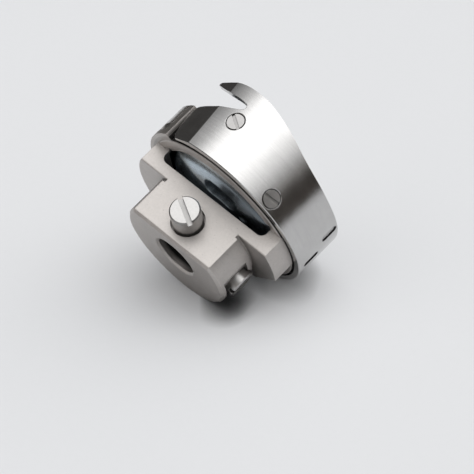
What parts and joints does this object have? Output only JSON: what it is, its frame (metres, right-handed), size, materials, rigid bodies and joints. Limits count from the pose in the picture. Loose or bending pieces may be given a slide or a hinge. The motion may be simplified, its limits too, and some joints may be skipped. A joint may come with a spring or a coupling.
{
  "type": "rotary sewing hook with bobbin case",
  "caption": "Rotary lockstitch hook for a sewing machine: bored hub with clamping screws, bridge with window, polished ring with hook point, holding a basket with a latched bobbin case.",
  "frame": {"origin": "centre of the shaft bore in the plane of the hub's rear face", "axes": "Y is the turning axis: the open front with the bobbin case faces -Y and the shaft enters from +Y. +Z is the normal of the hub's milled flat with its clamping screw. The hook point is near the top and points towards +X."},
  "size_m": [0.034, 0.0263, 0.034],
  "materials": {
    "body": "satin, ground",
    "polished": "polished, fine circumferential grain",
    "screw": "bright turned",
    "basket": "polished, hard chromed",
    "case": "fine turned, bright",
    "spring": "blued spring steel, bright",
    "guard": "satin",
    "bobbin": "satin"
  },
  "bodies": {
    "hook": {"hook_body": "body", "hook_plate": "polished", "plate_screws": "screw", "set_screw_top": "screw", "set_screw_side": "screw", "needle_guard": "guard", "needle_guard_screw": "screw"},
    "basket": {"basket": "basket", "basket_stud": "basket"},
    "case": {"bobbin_case": "case", "case_tube": "case", "tension_spring": "spring", "spring_screw": "screw", "brake_spring": "spring", "latch_spring": "spring"},
    "tension_adjuster": {"tension_screw": "screw"},
    "catch": {"latch_slide": "case", "latch_pin": "screw"},
    "lever": {"latch_lever": "case"},
    "bobbin": {"bobbin_core": "bobbin", "bobbin_flanges": "bobbin"}
  },
  "joints": [
    {"name": "hook_rotation", "type": "hinge", "parent": "hook", "child": "basket", "pos_m": [0, 0, 0], "axis": [0, 1, 0], "continuous": true},
    {"name": "case_removal", "type": "slide", "parent": "basket", "child": "case", "axis": [0, -1, 0], "range_m": [0, 0.016]},
    {"name": "latch_opening", "type": "hinge", "parent": "catch", "child": "lever", "pos_m": [-0.0086, -0.0239, 0], "axis": [0, 0, -1], "range_deg": [0, 75]},
    {"name": "catch_travel", "type": "slide", "parent": "case", "child": "catch", "axis": [1, 0, 0], "range_m": [0, 0.0015], "deforming": ["latch_spring"]},
    {"name": "bobbin_spin", "type": "hinge", "parent": "case", "child": "bobbin", "pos_m": [0, -0.018, 0], "axis": [0, 1, 0], "continuous": true},
    {"name": "tension_setting", "type": "hinge", "parent": "case", "child": "tension_adjuster", "pos_m": [-0.01105, -0.0175, 0.00155], "axis": [-0.9903, 0, 0.1392], "range_deg": [-180, 180]}
  ],
  "couplings": [
    {"joint": "latch_opening", "follows": "catch_travel", "rad_per_m": 872.6}
  ]
}
